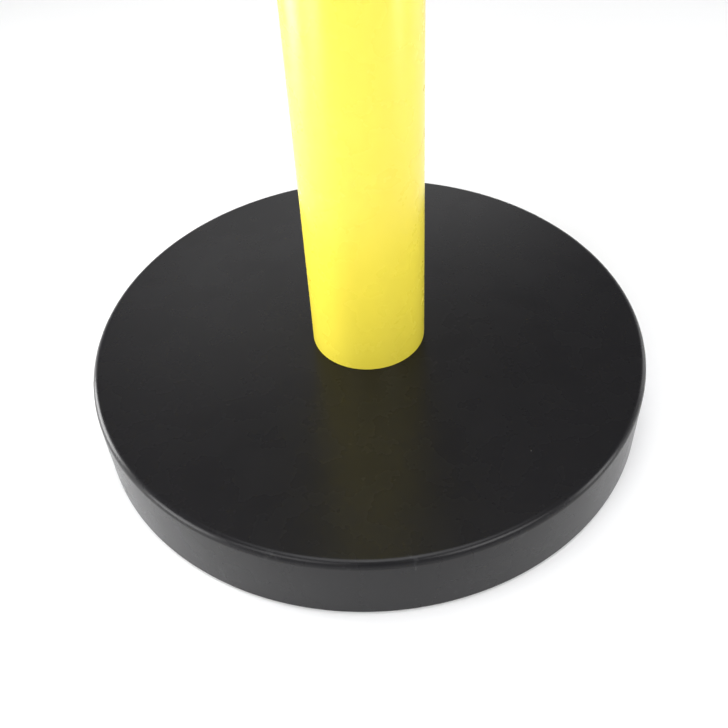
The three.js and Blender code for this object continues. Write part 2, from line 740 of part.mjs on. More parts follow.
function head() {
  const group = new THREE.Group();
  add(group, "head_casing", headCasing(), BLACK_ABS);
  add(group, "top_cap", topCap(), BLACK_ABS);
  add(group, "centre_plug", centrePlug(), BLACK_ABS);
  LOBE_TURNS.forEach((turns, i) => {
    const screw = add(group, `cap_screw_${i + 1}`, capScrew(), ZINC_STEEL);
    screw.position.set(LOBE_R * Math.cos(TURN * turns), LOBE_R * Math.sin(TURN * turns), 0);
  });
  add(group, "spool_shaft", spoolShaft(), ZINC_STEEL);
  add(group, "shaft_screw", shaftScrew(), ZINC_STEEL);
  add(group, "lower_washer", lowerWasher(), NYLON);
  add(group, "upper_washer", upperWasher(), NYLON);
  add(group, "shaft_clip", shaftClip(), DARK_STEEL);
  add(group, "brake_ring", brakeRing(), DARK_STEEL);
  group.add(spool(), beltEnd());
  group.position.z = HEAD_Z;
  return group;
}

const post = new THREE.Group();
post.add(foot(), tube(), head());

export default post;
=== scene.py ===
import json
import math

import bmesh
import bpy
import numpy as np
from mathutils import Matrix, Vector, noise


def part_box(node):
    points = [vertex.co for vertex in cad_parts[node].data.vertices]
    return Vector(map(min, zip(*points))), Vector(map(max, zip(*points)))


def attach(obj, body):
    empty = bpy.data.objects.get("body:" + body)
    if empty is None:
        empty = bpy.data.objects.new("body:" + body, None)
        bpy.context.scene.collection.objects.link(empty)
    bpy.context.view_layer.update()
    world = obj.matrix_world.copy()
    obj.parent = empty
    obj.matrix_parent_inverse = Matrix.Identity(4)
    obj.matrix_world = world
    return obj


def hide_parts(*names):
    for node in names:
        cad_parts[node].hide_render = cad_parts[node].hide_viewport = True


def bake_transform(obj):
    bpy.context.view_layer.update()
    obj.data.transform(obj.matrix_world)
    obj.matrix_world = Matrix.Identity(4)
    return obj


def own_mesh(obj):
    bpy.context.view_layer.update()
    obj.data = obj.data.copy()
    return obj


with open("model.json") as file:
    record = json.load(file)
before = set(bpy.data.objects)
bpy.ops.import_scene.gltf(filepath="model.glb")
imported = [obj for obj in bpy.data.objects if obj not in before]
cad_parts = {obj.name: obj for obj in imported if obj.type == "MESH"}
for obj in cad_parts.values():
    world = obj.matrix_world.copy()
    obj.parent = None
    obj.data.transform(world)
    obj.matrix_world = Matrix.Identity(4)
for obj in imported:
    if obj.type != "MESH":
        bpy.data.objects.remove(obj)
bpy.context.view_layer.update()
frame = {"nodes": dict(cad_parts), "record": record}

# Delineator post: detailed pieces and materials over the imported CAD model.
# Shapes are drawn in millimetres in the row frame and scaled to metres when they become pieces.

MM = 0.001
TURN = 2 * math.pi
QUARTER = math.pi / 2


def box_mm(node):
    low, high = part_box(node)
    return low / MM, high / MM


COVER_LOW, COVER_HIGH = box_mm("base_cover")
TUBE_LOW, TUBE_HIGH = box_mm("post_tube")
RING_HIGH = box_mm("rubber_ring")[1]
WEIGHT_LOW, WEIGHT_HIGH = box_mm("concrete_weight")
NUT_LOW, NUT_HIGH = box_mm("clamp_nut")
BOLT_LOW, BOLT_HIGH = box_mm("foot_bolt")
CAP_HIGH = box_mm("top_cap")[1]
TAIL_LOW, TAIL_HIGH = box_mm("belt_tail")

BASE_R = COVER_HIGH.x
TUBE_R = TUBE_HIGH.x
HEAD_HEIGHT = 84
HEAD_Z = CAP_HIGH.z - HEAD_HEIGHT  # the head's own z = 0, at the top end of the tube
CASING_R = 36
CASING_TOP = 78
SLOT = {"back": 25.8, "lip": 30.8, "half_width": 11, "half_neck": 6.5, "floor": 14}
SCREW_R = 29.5  # where the cap's screws stand
HEAD_SCREW_Z = -14  # the height of the screws that hold the head in the tube
SHAFT_HOLE_R = 3.4
CLEAR = 90  # a height above the whole head, where cuts that open upwards end
SIDEWAYS = Matrix.Rotation(QUARTER, 4, "Y")  # lays what stands along Z down along X
SHARP_ANGLE = 32  # degrees between two faces from which their edge is shaded sharp

# ---- shapes: (vertices, faces) ----


def arc(cx, cy, radius, start, end, steps):
    angles = np.radians(np.linspace(start, end, steps + 1))
    return [(cx + radius * math.cos(a), cy + radius * math.sin(a)) for a in angles]


def lathe(profile, sides=192):
    """A closed outline of (radius, z) turned about Z. A radius may be a function of the angle."""
    angles = TURN * np.arange(sides) / sides
    verts, rings = [], []
    for radius, z in profile:
        start = len(verts)
        if not callable(radius) and radius < 1e-6:
            verts.append((0, 0, z))
            rings.append([start] * sides)
            continue
        radii = radius(angles) if callable(radius) else np.full(sides, radius)
        verts += [(r * math.cos(a), r * math.sin(a), z) for r, a in zip(radii, angles)]
        rings.append(list(range(start, start + sides)))
    faces = []
    for low, high in zip(rings, rings[1:] + rings[:1]):
        for i in range(sides):
            j = (i + 1) % sides
            corners = list(dict.fromkeys((low[i], low[j], high[j], high[i])))
            if len(corners) > 2:
                faces.append(corners)
    return verts, faces


def fillet(corners, steps=6):
    """A closed outline from corners (x, y, radius), each rounded by its radius."""
    outline = []
    for i, (x, y, radius) in enumerate(corners):
        corner = Vector((x, y))
        if not radius:
            outline.append((x, y))
            continue
        back = (Vector(corners[i - 1][:2]) - corner).normalized()
        ahead = (Vector(corners[(i + 1) % len(corners)][:2]) - corner).normalized()
        half = back.angle(ahead) / 2
        centre = corner + (back + ahead).normalized() * radius / math.sin(half)
        first = corner + back * radius / math.tan(half) - centre
        sweep = math.pi - 2 * half
        if back.cross(ahead) > 0:
            sweep = -sweep
        for k in range(steps + 1):
            point = centre + Matrix.Rotation(sweep * k / steps, 2) @ first
            outline.append(tuple(point))
    return outline


def inset(outline, distance):
    """The outline moved towards its inside; it runs anticlockwise."""
    points = np.array(outline)
    along = np.roll(points, -1, 0) - points
    along /= np.linalg.norm(along, axis=1)[:, None]
    inward = np.stack([-along[:, 1], along[:, 0]], 1)
    before = np.roll(inward, 1, 0)
    mitre = (inward + before) / (1 + (inward * before).sum(1))[:, None]
    return points + mitre * distance


def prism(outline, low, high, edge_low=0.0, edge_high=0.0, steps=4):
    """The outline given height, with its lower and upper edges rounded."""
    levels = []
    turns = np.linspace(0, QUARTER, steps + 1)
    for t in turns if edge_low else turns[-1:]:
        levels.append((edge_low * (1 - math.sin(t)), low + edge_low * (1 - math.cos(t))))
    for t in turns[::-1] if edge_high else turns[-1:]:
        levels.append((edge_high * (1 - math.sin(t)), high - edge_high * (1 - math.cos(t))))
    count = len(outline)
    verts, faces = [], []
    for distance, z in levels:
        verts += [(x, y, z) for x, y in inset(outline, distance)]
    for k in range(len(levels) - 1):
        for i in range(count):
            j = (i + 1) % count
            a, b = k * count, (k + 1) * count
            faces.append((a + i, a + j, b + j, b + i))
    faces.append(tuple(reversed(range(count))))
    faces.append(tuple(range(len(verts) - count, len(verts))))
    return verts, faces


def strip(centre_line, thickness, low, high):
    """A band of webbing standing on edge: its centre line in XY, given thickness and height."""
    points = np.array(centre_line)
    along = np.gradient(points, axis=0)
    along /= np.linalg.norm(along, axis=1)[:, None]
    side = np.stack([-along[:, 1], along[:, 0]], 1) * thickness / 2
    verts, faces = [], []
    for (x, y), (u, v) in zip(points, side):
        verts += [(x - u, y - v, low), (x + u, y + v, low), (x + u, y + v, high), (x - u, y - v, high)]
    for k in range(0, 4 * (len(points) - 1), 4):
        for i in range(4):
            j = (i + 1) % 4
            faces.append((k + i, k + j, k + 4 + j, k + 4 + i))
    faces += [(3, 2, 1, 0), tuple(range(len(verts) - 4, len(verts)))]
    return verts, faces


def placed(shape, matrix):
    verts, faces = shape
    return [tuple(matrix @ Vector(v)) for v in verts], faces


def about_z(degrees):
    return Matrix.Rotation(math.radians(degrees), 4, "Z")


def spun(shape, degrees):
    return placed(shape, about_z(degrees))


def lifted(shape, z):
    return placed(shape, Matrix.Translation((0, 0, z)))


def mesh_of(shape, name="shape"):
    verts, faces = shape
    mesh = bpy.data.meshes.new(name)
    mesh.from_pydata(verts, [], faces)
    work = bmesh.new()
    work.from_mesh(mesh)
    bmesh.ops.recalc_face_normals(work, faces=work.faces)
    work.to_mesh(mesh)
    work.free()
    return mesh


def combined(operation, shape, others):
    """The shape after each of the others has been joined to it or cut from it."""
    objects = [bpy.data.objects.new("work", mesh_of(s)) for s in (shape, *others)]
    for o in objects:
        bpy.context.scene.collection.objects.link(o)
    for tool in objects[1:]:
        modifier = objects[0].modifiers.new(operation, "BOOLEAN")
        modifier.operation = operation
        modifier.solver = "MANIFOLD"
        modifier.object = tool
    graph = bpy.context.evaluated_depsgraph_get()
    mesh = bpy.data.meshes.new_from_object(objects[0].evaluated_get(graph))
    result = [tuple(v.co) for v in mesh.vertices], [tuple(p.vertices) for p in mesh.polygons]
    for o in objects:
        bpy.data.objects.remove(o)
    return result


def cut(shape, *tools):
    return combined("DIFFERENCE", shape, tools)


def join(shape, *others):
    return combined("UNION", shape, others)


def block(x0, x1, y0, y1, z0, z1):
    return prism([(x0, y0), (x1, y0), (x1, y1), (x0, y1)], z0, z1)


def rod(radius, low, high, sides=24):
    return lathe([(0, low), (radius, low), (radius, high), (0, high)], sides)


def rounded(x0, x1, y0, y1, corner, steps=6):
    """The outline of a rectangle with rounded corners."""
    return fillet([(x0, y0, corner), (x1, y0, corner), (x1, y1, corner), (x0, y1, corner)], steps)


# ---- materials ----


class Finish:
    """A material under construction, with short names for the nodes that all of them use."""

    def __init__(self, name, **sockets):
        self.material = bpy.data.materials.new(name)
        self.material.use_nodes = True
        self.tree = self.material.node_tree
        self.shader = self.tree.nodes["Principled BSDF"]
        self.place = self.add("ShaderNodeTexCoord").outputs["Object"]
        for socket, value in sockets.items():
            self.shader.inputs[socket.replace("_", " ")].default_value = value

    def add(self, kind, inputs=None, **settings):
        node = self.tree.nodes.new(kind)
        for key, value in settings.items():
            setattr(node, key, value)
        for key, value in (inputs or {}).items():
            if isinstance(value, bpy.types.NodeSocket):
                self.tree.links.new(value, node.inputs[key])
            else:
                node.inputs[key].default_value = value
        return node

    def set(self, socket, value):
        self.tree.links.new(value, self.shader.inputs[socket])

    def stretched(self, x, y, z):
        return self.add("ShaderNodeMapping", {"Vector": self.place, "Scale": (x, y, z)}).outputs[0]

    def noise(self, size_mm, detail=2.0, rough=0.5, place=None):
        sockets = {"Vector": place or self.place, "Scale": 1 / (size_mm * MM)}
        sockets |= {"Detail": detail, "Roughness": rough}
        return self.add("ShaderNodeTexNoise", sockets).outputs["Fac"]

    def cells(self, size_mm, output="Distance", place=None):
        sockets = {"Vector": place or self.place, "Scale": 1 / (size_mm * MM)}
        return self.add("ShaderNodeTexVoronoi", sockets).outputs[output]

    def remap(self, value, low, high, to_low=0.0, to_high=1.0):
        sockets = {"Value": value, "From Min": low, "From Max": high, "To Min": to_low, "To Max": to_high}
        return self.add("ShaderNodeMapRange", sockets).outputs["Result"]

    def math(self, operation, a, b=0.0):
        return self.add("ShaderNodeMath", {0: a, 1: b}, operation=operation).outputs[0]

    def axis(self, letter):
        return self.add("ShaderNodeSeparateXYZ", {0: self.place}).outputs[letter]

    def mix(self, share, a, b):
        node = self.add("ShaderNodeMix", data_type="RGBA")
        for socket, value in ((node.inputs[0], share), (node.inputs[6], a), (node.inputs[7], b)):
            if isinstance(value, bpy.types.NodeSocket):
                self.tree.links.new(value, socket)
            else:
                socket.default_value = value
        return node.outputs[2]

    def bump(self, height, depth_mm, over=None):
        sockets = {"Height": height, "Distance": depth_mm * MM}
        if over:
            sockets["Normal"] = over
        return self.add("ShaderNodeBump", sockets).outputs["Normal"]

    def radius(self):
        x, y = (self.math("MULTIPLY", self.axis(a), self.axis(a)) for a in "XY")
        return self.math("SQRT", self.math("ADD", x, y))


def rgb(red, green, blue):
    return (red, green, blue, 1.0)


def powder_coat(name, colour, darker, rough, peel_mm, peel_depth, specular=0.5):
    """Satin powder coat: slight orange peel, uneven gloss, and a drift in shade."""
    f = Finish(name, Specular_IOR_Level=specular)
    drift = f.remap(f.noise(45, 3), 0.35, 0.7)
    f.set("Roughness", f.remap(f.noise(18, 4), 0.3, 0.7, rough - 0.02, rough + 0.03))
    peel = f.noise(peel_mm, 2)
    fine = f.noise(peel_mm / 4, 1)
    f.set("Normal", f.bump(fine, peel_depth / 5, f.bump(peel, peel_depth)))
    return f, f.mix(drift, rgb(*colour), rgb(*darker))


def cover_paint():
    black, darker = (0.0100, 0.0096, 0.0108), (0.0088, 0.0085, 0.0096)
    f, colour = powder_coat("cover_black", black, darker, 0.27, 1.1, 0.012, 0.22)
    # wear and dust: a worn upper edge, hairline scuffs, and a few specks
    edge = f.remap(f.radius(), (BASE_R - 5) * MM, (BASE_R - 2) * MM)
    rubbed = f.math("MULTIPLY", edge, f.remap(f.noise(9, 6, 0.7), 0.6, 0.72))
    colour = f.mix(f.math("MULTIPLY", rubbed, 0.35), colour, rgb(0.07, 0.07, 0.072))
    scuffs = f.remap(f.noise(6, 5, 0.65, f.stretched(1, 7, 1)), 0.68, 0.78)
    colour = f.mix(f.math("MULTIPLY", scuffs, 0.10), colour, rgb(0.11, 0.11, 0.115))
    near = f.remap(f.cells(13), 0.012, 0.022, 1, 0)
    few = f.remap(f.add("ShaderNodeSeparateColor", {0: f.cells(13, "Color")}).outputs[0], 0.72, 0.73)
    colour = f.mix(f.math("MULTIPLY", f.math("MULTIPLY", near, few), 0.55), colour, rgb(0.35, 0.35, 0.34))
    f.set("Base Color", colour)
    return f.material


def tube_paint():
    yellow, darker = (0.80, 0.672, 0.064), (0.79, 0.66, 0.060)
    f, colour = powder_coat("tube_yellow", yellow, darker, 0.27, 1.3, 0.005)
    handling = f.remap(f.noise(14, 6, 0.7, f.stretched(1, 1, 0.35)), 0.64, 0.76)
    colour = f.mix(f.math("MULTIPLY", handling, 0.05), colour, rgb(0.62, 0.50, 0.05))
    scraped = f.remap(f.noise(3, 5, 0.6, f.stretched(1, 1, 0.12)), 0.73, 0.78)
    colour = f.mix(f.math("MULTIPLY", scraped, 0.05), colour, rgb(0.98, 0.9, 0.45))
    f.set("Base Color", colour)
    return f.material


def rubber():
    f = Finish("rubber_black", Specular_IOR_Level=0.3)
    dust = f.remap(f.noise(12, 6, 0.65), 0.45, 0.7)
    f.set("Base Color", f.mix(dust, rgb(0.013, 0.013, 0.013), rgb(0.05, 0.047, 0.043)))
    f.set("Roughness", f.remap(f.noise(5, 3), 0.3, 0.7, 0.72, 0.9))
    f.set("Normal", f.bump(f.noise(0.5, 3), 0.03))
    return f.material


def concrete():
    f = Finish("concrete", Specular_IOR_Level=0.25)
    tone = f.remap(f.noise(22, 8, 0.6), 0.3, 0.75)
    colour = f.mix(tone, rgb(0.42, 0.40, 0.365), rgb(0.25, 0.24, 0.22))
    sand = f.remap(f.noise(0.9, 2), 0.55, 0.75)
    colour = f.mix(f.math("MULTIPLY", sand, 0.5), colour, rgb(0.16, 0.15, 0.13))
    pores = f.remap(f.cells(5), 0.07, 0.16, 1, 0)
    open_pore = f.remap(f.add("ShaderNodeSeparateColor", {0: f.cells(5, "Color")}).outputs[1], 0.6, 0.62)
    # the open pores: sunk by the bump, and coloured dark as painted shade inside them
    pit = f.math("MULTIPLY", pores, open_pore)
    f.set("Base Color", f.mix(pit, colour, rgb(0.08, 0.075, 0.07)))
    f.set("Roughness", f.remap(tone, 0, 1, 0.82, 0.95))
    grain = f.bump(f.noise(1.2, 5, 0.6), 0.25)
    f.set("Normal", f.bump(f.math("SUBTRACT", 1.0, pit), 0.8, grain))
    return f.material


def metal(name, bright, dull, rough, grain_mm):
    """Plated or oiled steel: fine brushed grain, cloudy plating and slight staining."""
    f = Finish(name, Metallic=1.0)
    cloud = f.remap(f.noise(4, 5, 0.6), 0.35, 0.7)
    f.set("Base Color", f.mix(cloud, rgb(*bright), rgb(*dull)))
    f.set("Roughness", f.remap(f.noise(2.5, 4), 0.3, 0.7, rough - 0.06, rough + 0.1))
    f.set("Normal", f.bump(f.noise(grain_mm, 2, 0.5, f.stretched(1, 1, 6)), 0.012))
    return f.material


def moulded(name, colour, lighter, rough, texture_mm, depth, specular=0.5):
    """Moulded plastic: a textured or polished skin, flow marks, and where it is touched a smoother shine
    with a painted sheen that lightens its colour.
    """
    f = Finish(name, Specular_IOR_Level=specular)
    flow = f.remap(f.noise(16, 3, 0.5, f.stretched(1, 1, 0.4)), 0.35, 0.7)
    touched_and_sheen = f.remap(f.noise(9, 5, 0.65), 0.58, 0.72)
    base = f.mix(flow, rgb(*colour), rgb(*lighter))
    # painted sheen: the touched spots are lightened in colour as well as made smoother
    f.set("Base Color", f.mix(f.math("MULTIPLY", touched_and_sheen, 0.25), base, rgb(*(1.6 * c for c in lighter))))
    f.set("Roughness", f.remap(touched_and_sheen, 0, 1, rough, rough - 0.12))
    skin = f.bump(f.noise(texture_mm, 2, 0.6), depth)
    f.set("Normal", f.bump(f.noise(texture_mm * 6, 2), depth * 0.8, skin))
    return f.material


def lining():
    f = Finish("brake_lining", Specular_IOR_Level=0.2)
    fibre = f.remap(f.noise(0.5, 4, 0.6, f.stretched(3, 1, 1)), 0.45, 0.7)
    f.set("Base Color", f.mix(fibre, rgb(0.09, 0.055, 0.035), rgb(0.2, 0.14, 0.08)))
    f.set("Roughness", f.remap(fibre, 0, 1, 0.95, 0.8))
    f.set("Normal", f.bump(fibre, 0.08))
    return f.material


def webbing():
    """Woven polyester: twill ribs, plain selvedges, and slanting yellow stripes that run along the belt;
    painted shade darkens the grooves between the threads.
    """
    f = Finish("belt_web", Specular_IOR_Level=0.25, Sheen_Weight=0.25, Sheen_Roughness=0.5)
    x, z = f.axis("X"), f.axis("Z")
    repeat, selvedge, fade = 90 * MM, 2.5 * MM, 0.4 * MM
    warp_rate, weft_rate = 3900, 2900  # radians per metre; half a turn is one thread
    slant = f.math("ADD", x, z)
    stripe = f.math("FRACT", f.math("DIVIDE", slant, repeat))
    ragged = f.math("ADD", stripe, f.remap(f.noise(0.8, 1), 0, 1, -0.008, 0.008))
    yellow = f.math("MULTIPLY", f.remap(ragged, 0.495, 0.505), f.remap(ragged, 0.985, 0.995, 1, 0))
    lower, upper = TAIL_LOW.z * MM + selvedge, TAIL_HIGH.z * MM - selvedge
    inside = f.math("MULTIPLY", f.remap(z, lower, lower + fade), f.remap(z, upper - fade, upper, 1, 0))
    twill = f.math("ADD", z, f.math("MULTIPLY", x, 0.35))
    warp = f.math("ABSOLUTE", f.math("SINE", f.math("MULTIPLY", twill, warp_rate)))
    weft = f.math("ABSOLUTE", f.math("SINE", f.math("MULTIPLY", x, weft_rate)))
    weave_and_shade = f.math("MULTIPLY", f.math("ADD", warp, weft), 0.5)
    # painted shade: both colours are darker in the grooves between the threads and lighter on their crests
    black = f.mix(weave_and_shade, rgb(0.009, 0.009, 0.010), rgb(0.028, 0.028, 0.030))
    gold = f.mix(weave_and_shade, rgb(0.62, 0.44, 0.012), rgb(0.93, 0.72, 0.03))
    worn = f.remap(f.noise(7, 5, 0.6), 0.3, 0.8, 0.85, 1.0)
    colour = f.mix(f.math("MULTIPLY", yellow, inside), black, gold)
    f.set("Base Color", f.mix(worn, rgb(0.05, 0.045, 0.035), colour))
    f.set("Roughness", f.remap(weave_and_shade, 0, 1, 0.92, 0.7))
    f.set("Normal", f.bump(weave_and_shade, 0.12))
    return f.material


MATERIALS = {
    "cover_black": cover_paint(),
    "tube_yellow": tube_paint(),
    "rubber_black": rubber(),
    "concrete": concrete(),
    "zinc_steel": metal("zinc_steel", (0.62, 0.63, 0.65), (0.48, 0.49, 0.50), 0.3, 0.25),
    "dark_steel": metal("dark_steel", (0.15, 0.155, 0.17), (0.09, 0.092, 0.098), 0.36, 0.4),
    "abs_black": moulded("abs_black", (0.014, 0.014, 0.015), (0.020, 0.020, 0.021), 0.48, 0.35, 0.02),
    "acetal_grey": moulded("acetal_grey", (0.05, 0.053, 0.058), (0.065, 0.069, 0.075), 0.36, 1.5, 0.006),
    "nylon_white": moulded("nylon_white", (0.72, 0.69, 0.60), (0.62, 0.59, 0.50), 0.42, 1.2, 0.006),
    "brake_lining": lining(),
    "belt_web": webbing(),
}

# ---- pieces ----


def piece(name, shape, slot, body, replaced=(), sharp=SHARP_ANGLE):
    """Makes a shape in millimetres a piece that rides on a body and stands for CAD nodes."""
    obj = bpy.data.objects.new(name, mesh_of(shape, name))
    obj.data.transform(Matrix.Scale(MM, 4))
    obj.data.shade_smooth()
    obj.data.set_sharp_from_angle(angle=math.radians(sharp))
    obj.data.materials.append(MATERIALS[slot])
    bpy.context.scene.collection.objects.link(obj)
    if body:
        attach(obj, body)
    if replaced:
        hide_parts(*([replaced] if isinstance(replaced, str) else replaced))
    return obj


def cover():
    """Pressed steel cover: rolled upper edge, straight skirt, and a broken lower lip."""
    low, high = COVER_LOW.z, COVER_HIGH.z
    sheet, edge, hole = 1.2, 4.0, 7.0
    bend = (BASE_R - edge, high - edge)
    profile = [(hole, high - sheet)]
    profile += arc(*bend, edge - sheet, 90, 0, 8)
    profile += [(BASE_R - sheet, low + 0.3), (BASE_R - sheet + 0.3, low)]
    profile += [(BASE_R - 0.4, low), (BASE_R, low + 0.4)]
    profile += arc(*bend, edge, 0, 90, 16)
    profile += [(TUBE_R + 4, high), (hole + 0.3, high), (hole, high - 0.3)]
    piece("cover", lathe(profile, 288), "cover_black", "post", "base_cover", 40)


def tube():
    low, high, wall, chamfer = TUBE_LOW.z, TUBE_HIGH.z, 1.5, 0.25
    inner = TUBE_R - wall
    profile = [
        (inner + chamfer, low),
        (TUBE_R - chamfer, low),
        (TUBE_R, low + chamfer),
        (TUBE_R, high - chamfer),
        (TUBE_R - chamfer, high),
        (inner + chamfer, high),
        (inner, high - chamfer),
        (inner, low + chamfer),
    ]
    piece("tube", lathe(profile, 192), "tube_yellow", "post", "post_tube")


def floor_ring():
    """Rubber ring with grip grooves in its foot and the rib that holds it in the weight."""
    outer, top, high, band = RING_HIGH.x, RING_HIGH.z, 3.2, 17
    inner = outer - band
    profile = [(inner, 0.4), (inner + 0.4, 0)]
    for groove in (3.4, 6.6, 9.8, 13.0):
        at = inner + groove
        profile += [(at - 0.6, 0), (at - 0.45, 0.7), (at + 0.45, 0.7), (at + 0.6, 0)]
    profile += [(outer - 0.6, 0), (outer, 0.6), (outer, high)]
    rib = inner + 5.5
    profile += [(rib + 3, high), (rib + 2.8, top - 0.3), (rib + 2.5, top)]
    profile += [(rib + 0.5, top), (rib + 0.2, top - 0.3), (rib, high), (inner, high)]
    piece("floor_ring", lathe(profile, 192), "rubber_black", "post", "rubber_ring")


def stepped(points, step):
    """The same outline with no stretch longer than step."""
    dense = []
    for a, b in zip(points, points[1:] + points[:1]):
        parts = max(1, math.ceil(math.dist(a, b) / step))
        for i in range(parts):
            dense.append((a[0] + (b[0] - a[0]) * i / parts, a[1] + (b[1] - a[1]) * i / parts))
    return dense


def weight():
    """Cast weight: an uneven trowelled underside and a drafted nut recess."""
    low, high, outer = WEIGHT_LOW.z, WEIGHT_HIGH.z, WEIGHT_HIGH.x
    recess, recess_top, hole = 36, 24, 8.6
    groove = outer - 12
    profile = [
        (hole, recess_top),
        (recess, recess_top),
        (recess + 2, low + 1),
        (recess + 3, low),
        (groove, low),
        (groove, low + 5),
        (groove + 4, low + 5),
        (groove + 4, low),
        (outer, low),
        (outer, high - 4),
        (outer - 4, high),
        (hole, high),
    ]
    verts, faces = lathe(stepped(profile, 2.6), 200)
    uneven = []
    for v in verts:
        spot = Vector(v)
        swell = 0.5 + 0.5 * noise.fractal(spot / 14, 0.6, 2.0, 4)
        on_underside = recess + 2 < math.hypot(v[0], v[1]) < groove - 1 and v[2] < low + 0.5
        rise = 0.45 * max(0.0, min(1.0, swell)) if on_underside else 0
        uneven.append((v[0], v[1], v[2] + rise))
    piece("weight", (uneven, faces), "concrete", "post", "concrete_weight")


def hexagon(across_flats):
    """The radius of a hexagon as a function of the angle."""

    def radius(angles):
        off_flat = (angles + math.pi / 6) % (math.pi / 3) - math.pi / 6
        return across_flats / 2 / np.cos(off_flat)

    return radius


def chamfered_hexagon(across_flats, low, high):
    """Rows of a hexagon whose corners are turned down at both ends."""
    flat, corner, depth = across_flats / 2, across_flats / 2 / math.cos(math.pi / 6), 1.1
    full = hexagon(across_flats)

    def limited(limit):
        return lambda angles: np.minimum(full(angles), limit)

    steps = [flat - 0.35 + (corner + 0.02 - flat + 0.35) * t for t in np.linspace(0, 1, 7)]
    rows = [(limited(s), low + depth * (s - steps[0]) / (steps[-1] - steps[0])) for s in steps]
    return rows + [(r, high - (z - low)) for r, z in reversed(rows)]


def thread(radius, pitch, low, high, inwards=1):
    """Rows of a helical thread; inwards is -1 for one in a nut."""
    depth = 0.55 * pitch

    def row(z):
        def radii(angles):
            phase = (z / pitch - angles / TURN) % 1
            crest = np.clip(np.abs(2 * phase - 1) * 1.5 - 0.25, 0, 1)
            end = min(z - low, high - z)
            return np.minimum(radius - inwards * depth * crest, radius - inwards * max(0.0, 1 - end))

        return radii

    return [(row(z), z) for z in np.linspace(low, high, round((high - low) / pitch * 10) + 1)]


def foot_fastening():
    """The M12 bolt with its thread, and the nut under the weight."""
    head_low = BOLT_HIGH.z - 7.5
    shank_from = NUT_HIGH.z + 1.2
    rows = [(0, BOLT_LOW.z)] + thread(6, 1.75, BOLT_LOW.z, shank_from)
    rows += [(6, shank_from + 0.3), (6, head_low)]
    rows += chamfered_hexagon(18, head_low, BOLT_HIGH.z) + [(0, BOLT_HIGH.z)]
    piece("bolt", lathe(rows, 72), "zinc_steel", "post", "foot_bolt", 28)
    bore = [(7.0, NUT_HIGH.z), (6.4, NUT_HIGH.z - 0.6), (6.4, NUT_LOW.z + 0.6), (7.0, NUT_LOW.z)]
    outside = chamfered_hexagon(18, NUT_LOW.z, NUT_HIGH.z)
    piece("nut", lathe(outside + bore, 72), "zinc_steel", "post", "clamp_nut", 28)


def slot_outline(back, lip, half_width, half_neck, corner=0.8):
    """A T-slot on the +X side, seen from above, with its two mouths rounded into the outer wall."""
    centre = (math.sqrt((CASING_R - corner) ** 2 - (half_neck + corner) ** 2), half_neck + corner)
    outward = math.degrees(math.atan2(centre[1], centre[0]))
    mouth = arc(*centre, corner, 270, outward + 360, 6)
    side = [(back, half_width, 0.9), (lip, half_width, 0.9), (lip, half_neck, 0.45)]
    upper = fillet([(back, 0, 0)] + side + [(centre[0], half_neck, 0)])[:-1]
    upper = upper[1:] + mouth + [(CASING_R + 3, mouth[-1][1])]
    lower = [(x, -y) for x, y in reversed(upper)]
    return lower + upper


def recess_outline(back, half_width, corner=0.8):
    centre = (math.sqrt((CASING_R - corner) ** 2 - (half_width + corner) ** 2), half_width + corner)
    outward = math.degrees(math.atan2(centre[1], centre[0]))
    mouth = arc(*centre, corner, 270, outward + 360, 6)
    corner_arc = arc(back + 1, half_width - 1, 1, 180, 90, 6)
    upper = corner_arc + mouth + [(CASING_R + 3, mouth[-1][1])]
    return [(x, -y) for x, y in reversed(upper)] + upper


def ccw(outline):
    points = np.array(outline)
    x, y = points[:, 0], points[:, 1]
    area = (x * np.roll(y, -1) - y * np.roll(x, -1)).sum()
    return outline if area > 0 else outline[::-1]


RECEIVERS = (90, 180, 270)
LOBES = (45, 135, 225, 315)
HEAD_SCREWS = (60, 180, 300)


def casing():
    """Head moulding: the spool's cavity, three T-slots, the clip's recess and the belt's exit."""
    outer, top, cavity, floor = CASING_R, CASING_TOP, 23.4, 3
    spigot_out, spigot_in, spigot = 29.6, 27, 28
    profile = [(SHAFT_HOLE_R, -8), (6.7, -8), (7, -7.7), (7, 0), (spigot_in, 0), (spigot_in, 0.5 - spigot)]
    profile += [(spigot_in + 0.5, -spigot), (spigot_out - 0.8, -spigot)]
    profile += [(spigot_out, 0.8 - spigot), (spigot_out, 0)]
    profile += arc(outer - 2.5, 2.5, 2.5, -90, 0, 10)
    profile += [(outer, top - 0.3), (outer - 0.3, top), (cavity + 0.4, top), (cavity, top - 0.4)]
    profile += [(cavity, floor + 0.6), (cavity - 0.6, floor), (SHAFT_HOLE_R, floor)]
    body = lathe(profile, 240)
    outline = slot_outline(SLOT["back"], SLOT["lip"], SLOT["half_width"], SLOT["half_neck"])
    slot = prism(ccw(outline), SLOT["floor"], CLEAR)
    notch = block(24.4, 28, -4.2, 4.2, 69, 74.6)
    recess = prism(ccw(recess_outline(30.6, 11)), 8, CLEAR)
    flare = [(20, -5.6), (27.4, -2.1), (28.6, -1.5), (40, -1.5)]
    flare += [(40, 1.5), (29.4, 1.5), (27.6, 2.6), (20, 10)]
    exit_slit = prism(ccw(flare), 17.6, 67.6)
    pocket = prism(ccw([(25.4, -8.0), (31.9, -10.2), (33.1, -4.3), (25.6, -3.3)]), 4, CLEAR)
    other_pocket = placed(pocket, Matrix.Scale(-1, 4, (0, 1, 0)))
    pilot = placed(rod(1.7, 60, CLEAR), Matrix.Translation((SCREW_R, 0, 0)))
    screw_hole = placed(rod(2.4, 24, 40), Matrix.Translation((0, 0, HEAD_SCREW_Z)) @ SIDEWAYS)
    tools = [recess, exit_slit]
    tools += [spun(tool, angle) for angle in RECEIVERS for tool in (slot, notch)]
    tools += [spun(tool, angle) for angle in LOBES for tool in (pocket, other_pocket, pilot)]
    tools += [spun(screw_hole, angle) for angle in HEAD_SCREWS]
    piece("casing", lifted(cut(body, *tools), HEAD_Z), "abs_black", "post", "head_casing", 30)


